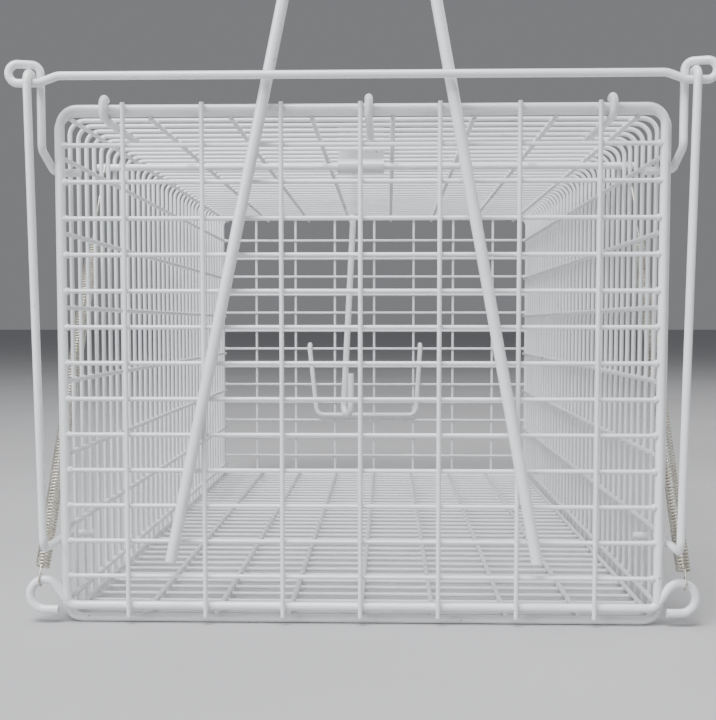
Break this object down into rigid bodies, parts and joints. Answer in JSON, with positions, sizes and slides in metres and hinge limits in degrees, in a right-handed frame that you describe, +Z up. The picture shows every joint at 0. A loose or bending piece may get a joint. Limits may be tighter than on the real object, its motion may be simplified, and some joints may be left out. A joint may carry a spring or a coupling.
{
  "type": "live_catch_trap",
  "caption": "White coated wire cage trap with a spring-closed front door, set lever, rocking roof catch, trip rod and bait hook.",
  "frame": {"origin": "centre of the object's box at the level of the surface it stands on", "axes": "+Y points to the closed rear end, -Y to the door, +X to the right seen from the door, +Z up"},
  "size_m": [0.1798, 0.3242, 0.1963],
  "materials": {
    "white_coat": "glossy white powder coat on steel wire",
    "zinc_spring": "bright zinc plated spring wire",
    "catch_steel": "coated sheet steel, slightly dull"
  },
  "bodies": {
    "cage": {"front_hoop": "white_coat", "rear_hoop": "white_coat", "shell_wires": "white_coat", "roof_rods": "white_coat", "left_wall_rods": "white_coat", "right_wall_rods": "white_coat", "floor_rods": "white_coat", "floor_wires": "white_coat", "rear_verticals": "white_coat", "rear_horizontals": "white_coat", "hinge_hook_left": "white_coat", "hinge_hook_centre": "white_coat", "hinge_hook_right": "white_coat", "spring_anchor_rod": "white_coat"},
    "door": {"door_frame": "white_coat", "door_bottom_bar": "white_coat", "door_verticals": "white_coat", "door_horizontals": "white_coat", "set_lever": "white_coat"},
    "front_bail": {"front_bail": "white_coat"},
    "side_rod_left": {"side_rod_left": "white_coat"},
    "side_rod_right": {"side_rod_right": "white_coat"},
    "spring_left": {"spring_left": "zinc_spring"},
    "spring_right": {"spring_right": "zinc_spring"},
    "spring_hook_left": {"spring_hook_left": "zinc_spring"},
    "spring_hook_right": {"spring_hook_right": "zinc_spring"},
    "catch": {"catch": "catch_steel"},
    "trip_rod": {"trip_rod": "white_coat"},
    "bait_hook": {"bait_hook": "white_coat"},
    "guard_loop": {"guard_loop": "white_coat"}
  },
  "joints": [
    {"name": "door_swing", "type": "hinge", "parent": "cage", "child": "door", "pos_m": [0, -0.1519, 0.1348], "axis": [-1, 0, 0], "range_deg": [0, 90], "stiffness_Nm_per_rad": 0.05, "springref_deg": -28.65},
    {"name": "front_bail_rock", "type": "hinge", "parent": "cage", "child": "front_bail", "pos_m": [0, -0.14463, 0.1195], "axis": [1, 0, 0], "range_deg": [-1.3, 0]},
    {"name": "side_rod_left_rock", "type": "hinge", "parent": "cage", "child": "side_rod_left", "pos_m": [0, -0.13611, 0.0215], "axis": [1, 0, 0], "range_deg": [-0.26, 0]},
    {"name": "side_rod_right_rock", "type": "hinge", "parent": "cage", "child": "side_rod_right", "pos_m": [0, -0.13611, 0.0215], "axis": [1, 0, 0], "range_deg": [-0.26, 0]},
    {"name": "spring_left_turn", "type": "hinge", "parent": "cage", "child": "spring_left", "pos_m": [0, -0.08931, 0.1281], "axis": [-1, 0, 0], "range_deg": [0, 64.1], "deforming": ["spring_left"]},
    {"name": "spring_left_stretch", "type": "slide", "parent": "spring_left", "child": "spring_hook_left", "axis": [0, -0.4732, -0.8809], "range_m": [0, 0.054], "deforming": ["spring_hook_left"]},
    {"name": "spring_right_turn", "type": "hinge", "parent": "cage", "child": "spring_right", "pos_m": [0, -0.08931, 0.1281], "axis": [-1, 0, 0], "range_deg": [0, 64.1], "deforming": ["spring_right"]},
    {"name": "spring_right_stretch", "type": "slide", "parent": "spring_right", "child": "spring_hook_right", "axis": [0, -0.4732, -0.8809], "range_m": [0, 0.054], "deforming": ["spring_hook_right"]},
    {"name": "bait_hook_swing", "type": "hinge", "parent": "cage", "child": "bait_hook", "pos_m": [0, 0.13203, 0.1338], "axis": [-1, 0, 0], "range_deg": [-5.7, 4]},
    {"name": "trip_rod_slide", "type": "slide", "parent": "cage", "child": "trip_rod", "axis": [0, 1, 0], "range_m": [-0.0011, 0.0008]},
    {"name": "catch_rock", "type": "hinge", "parent": "cage", "child": "catch", "pos_m": [0, -0.08931, 0.1281], "axis": [-1, 0, 0], "range_deg": [-7, 5]},
    {"name": "guard_loop_swing", "type": "hinge", "parent": "cage", "child": "guard_loop", "pos_m": [0, 0.15895, 0.067], "axis": [-1, 0, 0], "range_deg": [0, 10]}
  ],
  "couplings": [
    {"joint": "side_rod_left_rock", "follows": "front_bail_rock", "ratio": 0.1911},
    {"joint": "side_rod_right_rock", "follows": "front_bail_rock", "ratio": 0.1911},
    {"joint": "spring_left_turn", "follows": "door_swing", "ratio": 0.70913},
    {"joint": "spring_left_stretch", "follows": "door_swing", "m_per_rad": 0.034164},
    {"joint": "spring_right_turn", "follows": "door_swing", "ratio": 0.70913},
    {"joint": "spring_right_stretch", "follows": "door_swing", "m_per_rad": 0.034164},
    {"joint": "trip_rod_slide", "follows": "bait_hook_swing", "m_per_rad": 0.0105},
    {"joint": "catch_rock", "follows": "bait_hook_swing", "ratio": 1.2209}
  ]
}
